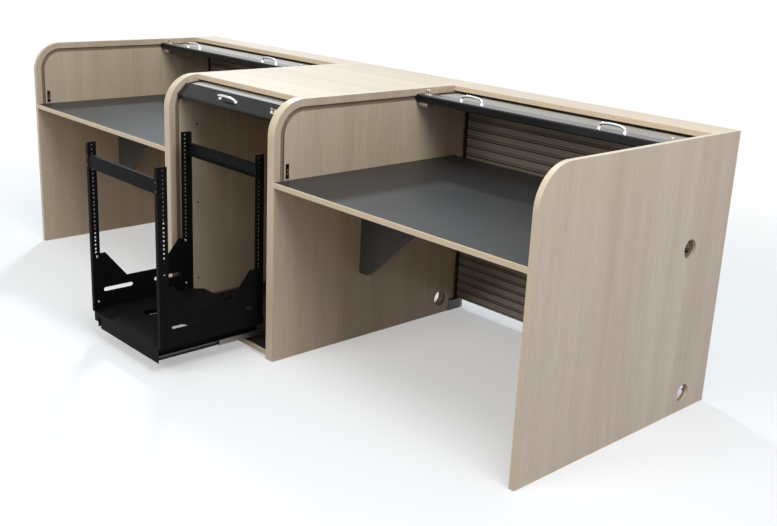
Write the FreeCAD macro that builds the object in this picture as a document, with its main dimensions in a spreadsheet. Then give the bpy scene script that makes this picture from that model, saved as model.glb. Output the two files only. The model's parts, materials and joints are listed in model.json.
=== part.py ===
import FreeCAD
import Part
import math
import os
import Sketcher

# Roll-top equipment desk: two desk bays closed by tambour curtains beside a centre bay with a
# pull-out equipment rack. +Z up, front towards -Y, origin on the floor under the middle of the desk.
doc = FreeCAD.newDocument("TambourDesk")
sheet = doc.addObject("Spreadsheet::Sheet", "Sizes")
Vector = FreeCAD.Vector
aliases = []
nodes = []


# A size knows its number and the sheet expression that it comes from
class Size:
    def __init__(self, value, text):
        self.value = float(value)
        self.text = text

    def __add__(self, other):
        other = sized(other)
        return Size(self.value + other.value, f"({self.text} + {other.text})")

    def __sub__(self, other):
        other = sized(other)
        return Size(self.value - other.value, f"({self.text} - {other.text})")

    def __mul__(self, other):
        other = sized(other)
        return Size(self.value * other.value, f"({self.text} * {other.text})")

    def __truediv__(self, other):
        other = sized(other)
        return Size(self.value / other.value, f"({self.text} / {other.text})")

    def __neg__(self):
        return Size(-self.value, f"(0 - {self.text})")


def sized(thing):
    if isinstance(thing, Size):
        return thing
    return Size(thing, repr(float(thing)))


def root(square):
    return Size(math.sqrt(square.value), f"sqrt({square.text})")


def cosine(angle):
    return Size(math.cos(math.radians(angle.value)), f"cos({angle.text} * 1 deg)")


def sine(angle):
    return Size(math.sin(math.radians(angle.value)), f"sin({angle.text} * 1 deg)")


def size(alias, value):
    aliases.append(alias)
    cell = f"B{len(aliases)}"
    sheet.set(f"A{len(aliases)}", alias)
    sheet.set(cell, str(value))
    sheet.setAlias(cell, alias)
    return Size(value, f"Sizes.{alias}")


zero = sized(0)
half_share = 0.5
vent_corner_share = 0.15

# Boards and overall sizes
board = size("board", 19)
bay_width = size("bay_width", 1124)
depth = size("depth", 992)
height = size("height", 940)
corner_radius = size("corner_radius", 125)
edge_ease = size("edge_ease", 2)
overrun = size("overrun", 2)

# Desk tops, top boards and backs
desk_level = size("desk_level", 663)
desk_depth = size("desk_depth", 884)
laminate = size("laminate", 1)
strip_depth = size("strip_depth", 130)
deck_setback = size("deck_setback", 132)
back_sheet = size("back_sheet", 9)
back_foot = size("back_foot", 62)

# Cable holes
cable_hole_radius = size("cable_hole_radius", 32)
low_hole_back = size("low_hole_back", 138)
low_hole_level = size("low_hole_level", 64)
high_hole_back = size("high_hole_back", 213)
high_hole_drop = size("high_hole_drop", 82)

# Tambour track and its end stops
track_inset = size("track_inset", 34)
rear_track_inset = size("rear_track_inset", 50)
groove_width = size("groove_width", 16.5)
groove_depth = size("groove_depth", 8)
track_foot = size("track_foot", 24)
end_stop_sheet = size("end_stop_sheet", 2)
end_stop_width = size("end_stop_width", 70)
end_stop_reach = size("end_stop_reach", 18)
end_stop_top = size("end_stop_top", 50)

# Curtain slats, hinged on each other by a bead in a socket
slat_pitch = size("slat_pitch", 35.5)
slat_thickness = size("slat_thickness", 12)
slat_entry = size("slat_entry", 6)
slat_side_gap = size("slat_side_gap", 2)
bead_radius = size("bead_radius", 2.5)
socket_radius = size("socket_radius", 4.1)
neck_length = size("neck_length", 5.6)
neck_thickness = size("neck_thickness", 1.6)
outer_lip_reach = size("outer_lip_reach", 2.6)
outer_lip_gap = size("outer_lip_gap", 2)
inner_lip_reach = size("inner_lip_reach", 1.4)
inner_lip_gap = size("inner_lip_gap", 3.25)

# Lead bars with their glides and pulls
bar_width = size("bar_width", 60)
bar_thickness = size("bar_thickness", 30)
bar_edge = size("bar_edge", 4)
bar_side_gap = size("bar_side_gap", 3)
bar_open_setback = size("bar_open_setback", 656)
bar_open_angle = size("bar_open_angle", 44)
glide_clearance = size("glide_clearance", 0.35)
glide_spread = size("glide_spread", 40)
glide_entry = size("glide_entry", 6)
glide_sides = 8
pull_length = size("pull_length", 116)
pull_height = size("pull_height", 27)
pull_width = size("pull_width", 11)
pull_thickness = size("pull_thickness", 7)
pull_foot = size("pull_foot", 13)
pull_end = size("pull_end", 8)
pull_inset = size("pull_inset", 30)
pull_spread = size("pull_spread", 610)

# Locks and strikes
lock_inset = size("lock_inset", 36)
lock_setback = size("lock_setback", 30)
knob_radius = size("knob_radius", 9)
knob_collar = size("knob_collar", 3)
knob_height = size("knob_height", 15)
grip_length = size("grip_length", 16)
grip_thickness = size("grip_thickness", 5)
grip_slope = size("grip_slope", 2.5)
spindle_radius = size("spindle_radius", 5)
spindle_clearance = size("spindle_clearance", 0.08)
spindle_depth = size("spindle_depth", 10)
spindle_sides = 8
knob_sides = 12
lock_case_gap = size("lock_case_gap", 3)
lock_case_length = size("lock_case_length", 46)
lock_case_width = size("lock_case_width", 36)
lock_case_depth = size("lock_case_depth", 16)
lock_case_bevel = size("lock_case_bevel", 5)
bolt_width = size("bolt_width", 18)
bolt_thickness = size("bolt_thickness", 8)
bolt_proud = size("bolt_proud", 2)
strike_width = size("strike_width", 14)
strike_length = size("strike_length", 52)
strike_sheet = size("strike_sheet", 1.5)
strike_slack = size("strike_slack", 1)
strike_lift = size("strike_lift", 6)

# Desk brackets of folded sheet
bracket_setback = size("bracket_setback", 405)
bracket_height = size("bracket_height", 381)
bracket_foot = size("bracket_foot", 46)
bracket_reach = size("bracket_reach", 485)
bracket_flange = size("bracket_flange", 24)
bracket_sheet = size("bracket_sheet", 2)

# Floor of the rack bay
rack_floor_level = size("rack_floor_level", 31.5)
rack_floor_setback = size("rack_floor_setback", 6)
rack_floor_depth = size("rack_floor_depth", 860)

# Rack frame of steel sheet
rack_out = size("rack_out", 386)
rack_width = size("rack_width", 483)
rack_depth = size("rack_depth", 427)
rack_room = size("rack_room", 74.5)
rack_base_level = size("rack_base_level", 105)
rack_sheet = size("rack_sheet", 2)
row_height = size("row_height", 44.45)
hole_lift = size("hole_lift", 6.35)
hole_spacing = size("hole_spacing", 15.875)
post_end = size("post_end", 5)
post_side = size("post_side", 38)
post_front = size("post_front", 16)
post_hole = size("post_hole", 6.4)
post_hole_inset = size("post_hole_inset", 22)
side_low = size("side_low", 112)
side_high = size("side_high", 215)
gusset_top = size("gusset_top", 58)
gusset_foot = size("gusset_foot", 144)
slot_length = size("slot_length", 120)
slot_height = size("slot_height", 15)
slot_spread = size("slot_spread", 212)
slot_level = size("slot_level", 71)
crossbar_height = size("crossbar_height", 49)
crossbar_depth = size("crossbar_depth", 14)
crossbar_drop = size("crossbar_drop", 41)
lip_drop = size("lip_drop", 54)
lip_notch_drop = size("lip_notch_drop", 14)
lip_ear_drop = size("lip_ear_drop", 33)
lip_ear = size("lip_ear", 29)
lip_notch = size("lip_notch", 16)
lip_inset = size("lip_inset", 15.5)
skirt_drop = size("skirt_drop", 51)
skirt_inset = size("skirt_inset", 41)
tongue_depth = size("tongue_depth", 37)
tongue_inset = size("tongue_inset", 8)
tongue_cut = size("tongue_cut", 30)
vent_length = size("vent_length", 64)
vent_width = size("vent_width", 48)
vent_spread = size("vent_spread", 198)
vent_setback = size("vent_setback", 165)
screw_head_radius = size("screw_head_radius", 5)
screw_head = size("screw_head", 3)
head_sides = 6
screw_inset = size("screw_inset", 25)
screw_low = size("screw_low", 27)
screw_high = size("screw_high", 203)
row_count = 14

# Telescopic slides under the rack
slide_sheet = size("slide_sheet", 1.5)
slide_gap = size("slide_gap", 0.6)
slide_depth = size("slide_depth", 12)
slide_flange_gap = size("slide_flange_gap", 2)
slide_height = size("slide_height", 24)
slide_lift = size("slide_lift", 16.5)
slide_foot = size("slide_foot", 20)
slide_inset = size("slide_inset", 4)
middle_lead = size("middle_lead", 256)
middle_length = size("middle_length", 430)
outer_setback = size("outer_setback", 85)

# Places shared by several pieces
front = (rack_out - depth) / 2
rack_front = front - rack_out
rack_side = rack_width / 2
skirt_face = rack_side - skirt_inset
slide_step = slide_sheet + slide_gap
inner_web = slide_depth - slide_flange_gap
outer_web = inner_web + slide_step
channel_start = skirt_face + slide_sheet + slide_flange_gap
rack_half = rack_side + rack_room
rack_bay_width = rack_half * 2
bay_start = rack_half + board * 2
bay_end = bay_start + bay_width
under_top = height - board
track_level = height - track_inset
track_radius = corner_radius - track_inset
rear_track = depth - rear_track_inset
arc_level = height - corner_radius
rear_arc = rear_track - track_radius
desk_under = desk_level - laminate - board
groove_half = groove_width / 2
bar_half = bar_thickness / 2
bore_radius = (spindle_radius + spindle_clearance) / math.cos(math.pi / spindle_sides)
bays = {"left": -bay_end, "right": bay_start}


def bind(thing, prop, what):
    thing.setExpression(prop, sized(what).text)


def place(thing, x, y, z):
    for axis, where in zip("xyz", (x, y, z)):
        bind(thing, "Placement.Base." + axis, where)


def tilt(thing, angle):
    thing.Placement = FreeCAD.Placement(Vector(), FreeCAD.Rotation(Vector(1, 0, 0), angle.value))
    bind(thing, "Placement.Rotation.Angle", angle)


def node(label, thing):
    thing.Label = label
    nodes.append(thing)


def box(name, x, y, z, along, across, tall):
    solid = doc.addObject("Part::Box", name)
    bind(solid, "Length", along)
    bind(solid, "Width", across)
    bind(solid, "Height", tall)
    place(solid, x, y, z)
    return solid


def prism_along_x(name, sides, x, y, z, radius, length):
    solid = doc.addObject("Part::Prism", name)
    solid.Placement = FreeCAD.Placement(Vector(), FreeCAD.Rotation(Vector(0, 1, 0), 90))
    solid.Polygon = sides
    bind(solid, "Circumradius", radius)
    bind(solid, "Height", length)
    place(solid, x, y, z)
    return solid


def group(label, pieces):
    several = doc.addObject("Part::Compound", label)
    several.Links = list(pieces)
    node(label, several)


def new_body(label):
    return doc.addObject("PartDesign::Body", label + "_body")


def fix(sketch, kind, geometry, point, where):
    where = sized(where)
    if where.text == zero.text:
        axis = -2 if kind == "DistanceX" else -1
        sketch.addConstraint(Sketcher.Constraint("PointOnObject", geometry, point, axis))
        return
    index = sketch.addConstraint(Sketcher.Constraint(kind, geometry, point, where.value))
    sketch.setExpression(f"Constraints[{index}]", where.text)


# One loop of a sketch. A corner is (u, v), or (u, v, centre u, centre v, turns left) before an arc
def draw_loop(sketch, corners):
    first = sketch.GeometryCount
    points = [Vector(sized(corner[0]).value, sized(corner[1]).value, 0) for corner in corners]
    count = len(corners)
    ends = []
    for index in range(count):
        corner = corners[index]
        here = points[index]
        after = points[(index + 1) % count]
        if len(corner) == 2:
            sketch.addGeometry(Part.LineSegment(here, after))
            ends.append((1, 2))
            continue
        centre = Vector(sized(corner[2]).value, sized(corner[3]).value, 0)
        circle = Part.Circle(centre, Vector(0, 0, 1), (here - centre).Length)
        start = math.atan2(here.y - centre.y, here.x - centre.x)
        stop = math.atan2(after.y - centre.y, after.x - centre.x)
        if corner[4]:
            sketch.addGeometry(Part.ArcOfCircle(circle, start, stop))
            ends.append((1, 2))
        else:
            sketch.addGeometry(Part.ArcOfCircle(circle, stop, start))
            ends.append((2, 1))
    for index in range(count):
        corner = corners[index]
        fix(sketch, "DistanceX", first + index, ends[index][0], corner[0])
        fix(sketch, "DistanceY", first + index, ends[index][0], corner[1])
        if len(corner) > 2:
            level = abs(points[index].y - points[(index + 1) % count].y) < abs(points[index].x) / 1e6
            fix(sketch, "DistanceY" if level else "DistanceX", first + index, 3, corner[3 if level else 2])
        after = (index + 1) % count
        joint = (first + index, ends[index][1], first + after, ends[after][0])
        sketch.addConstraint(Sketcher.Constraint("Coincident", *joint))


def draw_circle(sketch, u, v, radius):
    circle = Part.Circle(Vector(sized(u).value, sized(v).value, 0), Vector(0, 0, 1), radius.value)
    index = sketch.addGeometry(circle)
    fix(sketch, "DistanceX", index, 3, u)
    fix(sketch, "DistanceY", index, 3, v)
    which = sketch.addConstraint(Sketcher.Constraint("Radius", index, radius.value))
    sketch.setExpression(f"Constraints[{which}]", radius.text)


def sketch_on(body, role, name, loops=(), circles=(), lift=None):
    sketch = body.newObject("Sketcher::SketchObject", name)
    plane = next(part for part in body.Origin.OriginFeatures if part.Role == role)
    sketch.AttachmentSupport = [(plane, "")]
    sketch.MapMode = "FlatFace"
    if lift is not None:
        bind(sketch, "AttachmentOffset.Base.z", lift)
    for corners in loops:
        draw_loop(sketch, corners)
    for circle in circles:
        draw_circle(sketch, *circle)
    return sketch


def feature(body, kind, name, sketch, length, reverse=False):
    made = body.newObject("PartDesign::" + kind, name)
    made.Profile = sketch
    bind(made, "Length", length)
    made.Reversed = reverse
    body.Tip = made
    return made


def rectangle(u, v, width, tall):
    return [(u, v), (u + width, v), (u + width, v + tall), (u, v + tall)]


# Regular outline about a middle point, with a corner at half a step from the first axis
def polygon(u, v, radius, sides):
    corners = []
    for number in range(sides):
        turn = 2 * math.pi * (number + half_share) / sides
        corners.append((u + radius * math.cos(turn), v + radius * math.sin(turn)))
    return corners


# Slot about a middle point with cut corners
def vent(u, v, length, width):
    end = length / 2
    rise = width / 2
    corner = width * vent_corner_share
    return [
        (u - end + corner, v - rise),
        (u + end - corner, v - rise),
        (u + end, v - rise + corner),
        (u + end, v + rise - corner),
        (u + end - corner, v + rise),
        (u - end + corner, v + rise),
        (u - end, v + rise - corner),
        (u - end, v - rise + corner),
    ]


# Slot about a middle point with round ends
def oval(u, v, length, width):
    end = width / 2
    reach = (length - width) / 2
    return [
        (u - reach, v - end),
        (u + reach, v - end, u + reach, v, True),
        (u + reach, v + end),
        (u - reach, v + end, u - reach, v, True),
    ]


# Piece with one outline all along: a board or a folded sheet
def profile(name, role, loops, length, reverse=False):
    body = new_body(name)
    feature(body, "Pad", name + "_pad", sketch_on(body, role, name + "_outline", loops), length, reverse)
    return body


# Band of groove width along the track: up the front, over the top and down the back
def track_band(foot):
    outer = track_radius + groove_half
    inner = track_radius - groove_half
    return [
        (corner_radius - outer, foot),
        (corner_radius - outer, arc_level, corner_radius, arc_level, False),
        (corner_radius, arc_level + outer),
        (rear_arc, arc_level + outer, rear_arc, arc_level, False),
        (rear_arc + outer, arc_level),
        (rear_arc + outer, track_foot),
        (rear_arc + inner, track_foot),
        (rear_arc + inner, arc_level, rear_arc, arc_level, True),
        (rear_arc, arc_level + inner),
        (corner_radius, arc_level + inner, corner_radius, arc_level, True),
        (corner_radius - inner, arc_level),
        (corner_radius - inner, foot),
    ]


# Upright board with a rounded top front corner, cable holes and a track groove in one face
def upright(label, x, groove_on_right, foot, holes):
    body = new_body(label)
    corners = [
        (zero, zero),
        (depth, zero),
        (depth, height),
        (corner_radius, height, corner_radius, arc_level, True),
        (zero, arc_level),
    ]
    shape = sketch_on(body, "YZ_Plane", label + "_outline", [corners], holes)
    feature(body, "Pad", label + "_board", shape, board)
    face = board if groove_on_right else None
    band = sketch_on(body, "YZ_Plane", label + "_track", [track_band(foot)], (), face)
    feature(body, "Pocket", label + "_groove", band, groove_depth, not groove_on_right)
    place(body, x, front, zero)
    node(label, body)


low_hole = (depth - low_hole_back, low_hole_level, cable_hole_radius)
high_hole = (depth - high_hole_back, desk_level - high_hole_drop, cable_hole_radius)
upright("left_end_panel", -(bay_end + board), True, desk_level, [low_hole, high_hole])
upright("left_rack_wall_outer", -bay_start, False, desk_level, [low_hole])
upright("left_rack_wall_inner", -(rack_half + board), True, rack_floor_level, [low_hole])
upright("right_rack_wall_inner", rack_half, False, rack_floor_level, [low_hole])
upright("right_rack_wall_outer", rack_half + board, True, desk_level, [low_hole])
upright("right_end_panel", bay_end, False, desk_level, [low_hole, high_hole])


# Board across a bay with its upper front edge eased
def cross_board(label, x, width, setback, reach, bottom, thickness):
    corners = [
        (zero, zero),
        (reach, zero),
        (reach, thickness),
        (edge_ease, thickness),
        (zero, thickness - edge_ease),
    ]
    body = profile(label, "YZ_Plane", [corners], width)
    place(body, x, front + setback, bottom)
    node(label, body)


cross_board("centre_deck", -rack_half, rack_bay_width, deck_setback, depth - deck_setback, under_top, board)
for side, x in bays.items():
    cross_board(side + "_top_strip", x, bay_width, depth - strip_depth, strip_depth, under_top, board)
    cross_board(side + "_desktop", x, bay_width, zero, desk_depth, desk_under, board)
    top = rectangle(zero, edge_ease, bay_width, desk_depth - edge_ease)
    skin = profile(side + "_desk_laminate", "XY_Plane", [top], laminate)
    place(skin, x, front, desk_level - laminate)
    node(side + "_desk_laminate", skin)

# Thin backs between the uprights
for side, x, width in [("left", -bay_end, bay_width), ("centre", -rack_half, rack_bay_width),
                       ("right", bay_start, bay_width)]:
    sheet_height = under_top - back_foot
    back = box(side + "_back", x, front + depth - back_sheet, back_foot, width, back_sheet, sheet_height)
    node(side + "_back_panel", back)

# Angles that end the rear track and catch the curtain
end_stops = []
for side, x in bays.items():
    for facing, wall in [(1, x), (-1, x + bay_width)]:
        near = end_stop_sheet
        corners = [
            (zero, zero),
            (near, zero),
            (near, end_stop_top - end_stop_sheet),
            (end_stop_reach, end_stop_top - end_stop_sheet),
            (end_stop_reach, end_stop_top),
            (zero, end_stop_top),
        ]
        start = wall
        if facing < 0:
            corners = [(end_stop_reach - u, v) for u, v in reversed(corners)]
            start = wall - end_stop_reach
        angle = profile(f"{side}_end_stop", "XZ_Plane", [corners], end_stop_width, True)
        place(angle, start, front + rear_track - end_stop_width / 2, zero)
        end_stops.append(angle)
group("track_end_stops", end_stops)

# Desk brackets: plate with a flange turned back all round
slope = (bracket_reach - bracket_foot) / bracket_height
sheet_across = bracket_sheet * root(slope * slope + 1)
inner_top = bracket_height - bracket_sheet
bracket_edge = [(zero, zero), (bracket_foot, zero), (bracket_reach, bracket_height), (zero, bracket_height)]
bracket_inside = [
    (bracket_sheet, bracket_sheet),
    (bracket_foot + slope * bracket_sheet - sheet_across, bracket_sheet),
    (bracket_foot + slope * inner_top - sheet_across, inner_top),
    (bracket_sheet, inner_top),
]
for side, x in bays.items():
    for end, wall in [("left", x), ("right", x + bay_width)]:
        label = f"{side}_desk_{end}_bracket"
        edge = bracket_edge
        inside = bracket_inside
        start = wall
        if end == "right":
            edge = [(bracket_reach - u, v) for u, v in reversed(bracket_edge)]
            inside = [(bracket_reach - u, v) for u, v in reversed(bracket_inside)]
            start = wall - bracket_reach
        body = profile(label, "XZ_Plane", [edge], bracket_flange, True)
        hollow = sketch_on(body, "XZ_Plane", label + "_inside", [inside], (), -bracket_flange)
        feature(body, "Pocket", label + "_hollow", hollow, bracket_flange - bracket_sheet, True)
        place(body, start, front + bracket_setback, desk_under - bracket_height)
        node(label, body)

# Floor of the rack bay with its dark sheet
floor_top = rack_floor_level - laminate
cross_board("rack_floor", -rack_half, rack_bay_width, rack_floor_setback, rack_floor_depth, floor_top - board, board)
skin_start = front + rack_floor_setback + edge_ease
skin = box("floor_skin", -rack_half, skin_start, floor_top, rack_bay_width, rack_floor_depth - edge_ease, laminate)
node("rack_floor_sheet", skin)


# Corners of a bead about a middle point, from its underside round to its top
def bead_corners(u, v):
    return [(u, v - bead_radius), (u + bead_radius, v), (u, v + bead_radius)]


# Frame of a lead bar: t runs from its leading edge to the curtain, n from the track to the outer face
class Bar:
    def __init__(self, label, x, width, y, z, angle=None):
        self.label = label
        self.x = x
        self.width = width
        self.y = y
        self.z = z
        self.angle = angle

    def spot(self, t, n):
        if self.angle is None:
            return self.y + t, self.z + n
        across = self.y + t * cosine(self.angle) - n * sine(self.angle)
        return across, self.z + t * sine(self.angle) + n * cosine(self.angle)

    def seat(self, thing, x, t, n):
        if self.angle is not None:
            tilt(thing, self.angle)
        place(thing, x, *self.spot(t, n))


# Holes in a bar, and the parts on it, stand at the same distance from the bar's ends
def lock_places(bar, ends):
    return [bar.x + lock_inset if end == "left" else bar.x + bar.width - lock_inset for end in ends]


def lead_bar(bar, ends):
    body = new_body(bar.label + "_lead_bar")
    middle = bar_half
    corners = [
        (bar_edge, zero),
        (bar_width, zero),
        (bar_width, middle - neck_thickness / 2),
        *bead_corners(bar_width + neck_length, middle),
        (bar_width, middle + neck_thickness / 2),
        (bar_width, bar_thickness),
        (bar_edge, bar_thickness),
        (zero, bar_thickness - bar_edge),
        (zero, bar_edge),
    ]
    outline = sketch_on(body, "YZ_Plane", bar.label + "_bar_outline", [corners])
    feature(body, "Pad", bar.label + "_bar_pad", outline, bar.width - bar_side_gap * 2)
    start = bar.x + bar_side_gap
    bores = [polygon(x - start, lock_setback, bore_radius, spindle_sides) for x in lock_places(bar, ends)]
    bored = sketch_on(body, "XY_Plane", bar.label + "_bar_bores", bores)
    feature(body, "Pocket", bar.label + "_bar_bore", bored, bar_thickness, True)
    bar.seat(body, start, zero, -bar_half)
    node(bar.label + "_lead_bar", body)


def bar_glides(bar):
    pins = []
    reach = bar_side_gap + glide_entry
    for share in (-half_share, half_share):
        y, z = bar.spot(bar_width / 2 + glide_spread * share, zero)
        for x in (bar.x + bar_side_gap - reach, bar.x + bar.width - bar_side_gap):
            pin = prism_along_x(bar.label + "_glide", glide_sides, x, y, z, groove_half - glide_clearance, reach)
            pins.append(pin)
    group(bar.label + "_bar_glides", pins)


# Bow pull: flat bar arched between two feet
def bar_pulls(bar, shares):
    middle = pull_length / 2
    arch = pull_height - pull_end
    bow = (middle * middle + arch * arch) / (arch * 2)
    centre = pull_height - bow
    inside = middle - pull_foot
    under = bow - pull_thickness
    spring = centre + root(under * under - inside * inside)
    edge = [
        (zero, zero),
        (pull_foot, zero),
        (pull_foot, spring, middle, centre, False),
        (pull_length - pull_foot, spring),
        (pull_length - pull_foot, zero),
        (pull_length, zero),
        (pull_length, pull_end, middle, centre, True),
        (zero, pull_end),
    ]
    pulls = []
    for share in shares:
        body = profile(bar.label + "_pull", "XZ_Plane", [edge], pull_width, True)
        x = bar.x + bar.width / 2 + pull_spread * share - middle
        bar.seat(body, x, pull_inset - pull_width / 2, bar_half)
        pulls.append(body)
    if len(pulls) > 1:
        group(bar.label + "_bar_pulls", pulls)
    else:
        node(bar.label + "_bar_pull", pulls[0])


# Thumb turn: grip with sloped shoulders on a collar, and a spindle through the bar into the case
def lock_knob(bar, end, x):
    label = f"{bar.label}_bar_{end}_knob"
    shank = bar_thickness + spindle_depth
    body = profile(label, "XY_Plane", [polygon(zero, zero, spindle_radius, spindle_sides)], shank)
    rim = sketch_on(body, "XY_Plane", label + "_rim", [polygon(zero, zero, knob_radius, knob_sides)], (), shank)
    feature(body, "Pad", label + "_collar", rim, knob_collar)
    low = shank + knob_collar
    reach = grip_length / 2
    grip = [
        (-reach, low),
        (reach, low),
        (reach, low + knob_height - grip_slope),
        (reach - grip_slope, low + knob_height),
        (grip_slope - reach, low + knob_height),
        (-reach, low + knob_height - grip_slope),
    ]
    blade = sketch_on(body, "XZ_Plane", label + "_grip", [grip], (), -grip_thickness / 2)
    feature(body, "Pad", label + "_blade", blade, grip_thickness)
    bar.seat(body, x, lock_setback, -(bar_half + spindle_depth))
    node(label, body)


# Lock case under the bar: bevelled box with a bored top and the nose of its bolt
def lock_case(bar, end, x):
    label = f"{bar.label}_{end}_case"
    body = new_body(label)
    bevelled = [
        (zero, lock_case_bevel),
        (lock_case_bevel, zero),
        (lock_case_width - lock_case_bevel, zero),
        (lock_case_width, lock_case_bevel),
        (lock_case_width, lock_case_depth),
        (zero, lock_case_depth),
    ]
    shape = sketch_on(body, "YZ_Plane", label + "_outline", [bevelled])
    feature(body, "Pad", label + "_box", shape, lock_case_length)
    nose = rectangle((lock_case_width - bolt_width) / 2, lock_case_bevel, bolt_width, bolt_thickness)
    start = bar.x + bar_side_gap + lock_case_gap
    nose_lift = -bolt_proud
    if end == "right":
        start = bar.x + bar.width - bar_side_gap - lock_case_gap - lock_case_length
        nose_lift = lock_case_length
    bolt = sketch_on(body, "YZ_Plane", label + "_bolt_outline", [nose], (), nose_lift)
    feature(body, "Pad", label + "_bolt", bolt, bolt_proud)
    bore = polygon(x - start, lock_case_width / 2, bore_radius, spindle_sides)
    bored = sketch_on(body, "XY_Plane", label + "_bore_outline", [bore], (), lock_case_depth)
    feature(body, "Pocket", label + "_bore", bored, spindle_depth + overrun)
    bar.seat(body, start, lock_setback - lock_case_width / 2, -(bar_half + lock_case_depth))
    return body


# Slat outline along t and n: socket about the first joint, bead about the second
def slat_outline():
    top = slat_thickness / 2
    end = slat_pitch - neck_length
    corners = [
        (-inner_lip_reach, -inner_lip_gap),
        (-inner_lip_reach, -top),
        (end, -top),
        (end, -neck_thickness / 2),
        *bead_corners(slat_pitch, zero),
        (end, neck_thickness / 2),
        (end, top),
        (-outer_lip_reach, top),
        (-outer_lip_reach, outer_lip_gap),
        (zero, socket_radius),
        (socket_radius, zero),
        (zero, -socket_radius),
    ]
    return [Vector(0, sized(t).value, sized(n).value) for t, n in corners]


# Point of the track at a distance along it from the front end of the top run
def track_point(along):
    run = rear_arc.value - corner_radius.value
    radius = track_radius.value
    if along < 0:
        turn = along / radius
        return Vector(0, corner_radius.value + radius * math.sin(turn), arc_level.value + radius * math.cos(turn))
    if along < run:
        return Vector(0, corner_radius.value + along, track_level.value)
    turn = (along - run) / radius
    if turn < math.pi / 2:
        return Vector(0, rear_arc.value + radius * math.sin(turn), arc_level.value + radius * math.cos(turn))
    return Vector(0, rear_track.value, arc_level.value - (along - run - radius * math.pi / 2))


# Joints of a curtain that starts at the bar's bead and steps along the track by one slat each
def curtain_joints(first, along, count):
    joints = [first]
    for number in range(count):
        low = along
        high = along + slat_pitch.value * 2
        while high - low > slat_pitch.value / 1e9:
            middle = (low + high) / 2
            if (track_point(middle) - joints[-1]).Length < slat_pitch.value:
                low = middle
            else:
                high = middle
        along = low
        joints.append(track_point(along))
    return joints


# The slat next to the bar is too far off the bend of the track, so its ends stay clear of the groove
def curtain(bar, along, count):
    y, z = bar.spot(bar_width + neck_length, zero)
    joints = curtain_joints(Vector(0, y.value - front.value, z.value), along, count)
    corners = slat_outline()
    face = Part.Face(Part.makePolygon(corners + corners[:1]))
    slats = []
    for number in range(count):
        reach = slat_entry if number else -slat_side_gap
        slat = face.extrude(Vector(bar.width.value + reach.value * 2, 0, 0))
        step = joints[number + 1] - joints[number]
        turn = FreeCAD.Rotation(Vector(1, 0, 0), math.degrees(math.atan2(step.z, step.y)))
        where = Vector(bar.x.value - reach.value, front.value + joints[number].y, joints[number].z)
        slat.Placement = FreeCAD.Placement(where, turn)
        slats.append(slat)
    chain = doc.addObject("Part::Feature", bar.label + "_slats")
    chain.Shape = Part.makeCompound(slats)
    node(bar.label + "_curtain", chain)


# Curtains of the desk bays, open over the top
open_bars = []
for side, x in bays.items():
    open_bars.append((Bar(side, x, bay_width, front + bar_open_setback, track_level), ("left", "right")))
top_run = rear_arc.value - corner_radius.value
quarter = track_radius.value * math.pi / 2
hung = top_run + quarter + arc_level.value - end_stop_top.value - bead_radius.value
bay_along = (bar_open_setback + bar_width + neck_length - corner_radius).value
bay_slats = int((hung - bay_along) // slat_pitch.value)

# Curtain of the rack bay, its bar half way round the front bend
chord = root(track_radius * track_radius - glide_spread * glide_spread / 4)
bar_y = front + corner_radius - chord * sine(bar_open_angle) - bar_width / 2 * cosine(bar_open_angle)
bar_z = arc_level + chord * cosine(bar_open_angle) - bar_width / 2 * sine(bar_open_angle)
rack_bar = Bar("centre", -rack_half, rack_bay_width, bar_y, bar_z, bar_open_angle)
bead_turn = math.atan2(bar_width.value / 2 + neck_length.value, chord.value)
rack_along = track_radius.value * (bead_turn - math.radians(bar_open_angle.value))
closed_drop = arc_level.value - rack_floor_level.value - bar_width.value
rack_slats = math.ceil((closed_drop + quarter) / slat_pitch.value)

for bar, ends in [*open_bars, (rack_bar, ("right",))]:
    lead_bar(bar, ends)
    bar_glides(bar)
    bar_pulls(bar, (-half_share, half_share) if len(ends) > 1 else (0,))
    cases = []
    for end, x in zip(ends, lock_places(bar, ends)):
        lock_knob(bar, end, x)
        cases.append(lock_case(bar, end, x))
    group(bar.label + "_lock_cases", cases)
for bar, ends in open_bars:
    curtain(bar, bay_along, bay_slats)
curtain(rack_bar, rack_along, rack_slats)

# Strike plates on the walls where the bolts come to lie
bolt_setback = track_inset + bar_half + lock_case_depth - lock_case_bevel - bolt_thickness / 2
strikes = []
strike_walls = []
for bar, ends in [*open_bars, (rack_bar, ("right",))]:
    shut_level = desk_level if len(ends) > 1 else rack_floor_level
    for end in ends:
        wall = bar.x if end == "left" else bar.x + bar.width - strike_sheet
        strike_walls.append((wall, shut_level))
for wall, shut_level in strike_walls:
    slot_v = lock_setback - strike_lift
    plate = rectangle(zero, zero, strike_width, strike_length)
    slot_width = bolt_thickness + strike_slack
    slot_tall = bolt_width + strike_slack
    slot = rectangle((strike_width - slot_width) / 2, slot_v - slot_tall / 2, slot_width, slot_tall)
    strike = profile("strike", "YZ_Plane", [plate, slot], strike_sheet)
    place(strike, wall, front + bolt_setback - strike_width / 2, shut_level + strike_lift)
    strikes.append(strike)
group("strike_plates", strikes)

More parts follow.
